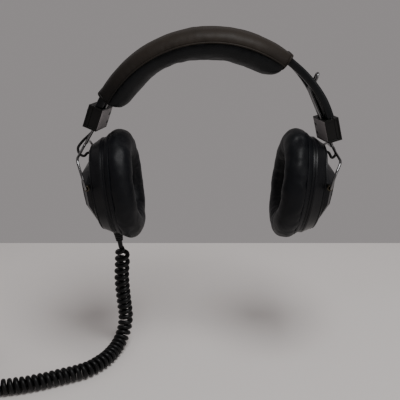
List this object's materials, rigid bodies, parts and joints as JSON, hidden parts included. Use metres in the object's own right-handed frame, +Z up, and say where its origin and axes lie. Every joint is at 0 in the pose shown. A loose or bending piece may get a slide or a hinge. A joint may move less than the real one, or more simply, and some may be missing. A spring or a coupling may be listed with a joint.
{
  "type": "headset",
  "caption": "Wired headset with two oval ear cups on wire yokes, a sprung head band with a sewn pad, and a curled cord ending in a jack plug.",
  "frame": {"origin": "the point of the wearer's crown that the head pad rests on, midway front to back", "axes": "+Z up, +X towards the right as seen from the wearer's front, -Y towards the wearer's front"},
  "size_m": [0.4389, 0.1542, 0.3129],
  "materials": {
    "spring_steel": "spring temper, satin",
    "band_vinyl": "soft black vinyl sleeve",
    "cable_rubber": "smooth black cable jacket",
    "pad_leathercloth": "soft leathercloth, slight sheen, sewn",
    "block_plastic": "moulded, fine texture",
    "screw_steel": "plated",
    "chrome_wire": "bright plated",
    "cushion_vinyl": "soft black vinyl, wrinkled",
    "cup_plastic": "moulded, satin",
    "foam": "open-cell foam",
    "driver_steel": "plain",
    "cone_paper": "pressed paper",
    "cup_plate": "satin",
    "bush_brass": "plain",
    "cord_rubber": "curled black cord jacket",
    "tie_fabric": "hook and loop",
    "plug_plastic": "moulded black",
    "plug_metal": "bright plated"
  },
  "bodies": {
    "headband": {"band_cover": "band_vinyl", "band_spring": "spring_steel", "coil_tie": "tie_fabric", "cord_coil": "cord_rubber", "cord_curl": "cord_rubber", "cord_tail": "cord_rubber", "crossover_cable": "cable_rubber", "left_block_body": "block_plastic", "left_block_cover": "block_plastic", "left_block_screw_front": "screw_steel", "left_block_screw_rear": "screw_steel", "plug_barrel": "plug_plastic", "plug_boot": "plug_plastic", "plug_insulator": "plug_plastic", "plug_ring": "plug_metal", "plug_sleeve": "plug_metal", "plug_tip": "plug_metal", "right_block_body": "block_plastic", "right_block_cover": "block_plastic", "right_block_screw_front": "screw_steel", "right_block_screw_rear": "screw_steel"},
    "head_pad": {"head_pad": "pad_leathercloth"},
    "left_yoke": {"left_cable_loop": "cable_rubber", "left_yoke_wire": "chrome_wire"},
    "right_yoke": {"right_cable_loop": "cable_rubber", "right_yoke_wire": "chrome_wire"},
    "left_cup": {"left_baffle_plate": "cup_plastic", "left_cable_grommet": "cable_rubber", "left_cord_lead": "cord_rubber", "left_cord_relief": "cable_rubber", "left_cup_housing": "cup_plastic", "left_cup_plate": "cup_plate", "left_cup_shell": "cup_plastic", "left_cushion_ring": "cup_plastic", "left_damping_foam": "foam", "left_driver_basket": "driver_steel", "left_driver_cone": "cone_paper", "left_driver_magnet": "driver_steel", "left_ear_cushion": "cushion_vinyl", "left_pivot_bush_front": "bush_brass", "left_pivot_bush_rear": "bush_brass"},
    "right_cup": {"right_baffle_plate": "cup_plastic", "right_cable_grommet": "cable_rubber", "right_cup_housing": "cup_plastic", "right_cup_plate": "cup_plate", "right_cup_shell": "cup_plastic", "right_cushion_ring": "cup_plastic", "right_damping_foam": "foam", "right_driver_basket": "driver_steel", "right_driver_cone": "cone_paper", "right_driver_magnet": "driver_steel", "right_ear_cushion": "cushion_vinyl", "right_pivot_bush_front": "bush_brass", "right_pivot_bush_rear": "bush_brass"}
  },
  "joints": [
    {"name": "pad_shift", "type": "hinge", "parent": "headband", "child": "head_pad", "pos_m": [0, 0, -0.086], "axis": [0, 1, 0], "range_deg": [-2.5, 6]},
    {"name": "left_extend", "type": "slide", "parent": "headband", "child": "left_yoke", "axis": [-0.515, 0, -0.8572], "range_m": [-0.01, 0.015], "deforming": ["cord_curl"]},
    {"name": "right_extend", "type": "slide", "parent": "headband", "child": "right_yoke", "axis": [0.4226, 0, -0.9063], "range_m": [0, 0.025]},
    {"name": "left_tilt", "type": "hinge", "parent": "left_yoke", "child": "left_cup", "pos_m": [-0.10809, 0, -0.10521], "axis": [0, 1, 0], "range_deg": [-5, 8], "deforming": ["left_cable_loop"]},
    {"name": "right_tilt", "type": "hinge", "parent": "right_yoke", "child": "right_cup", "pos_m": [0.10249, 0, -0.10461], "axis": [0, 1, 0], "range_deg": [-8, 3], "deforming": ["right_cable_loop"]}
  ]
}
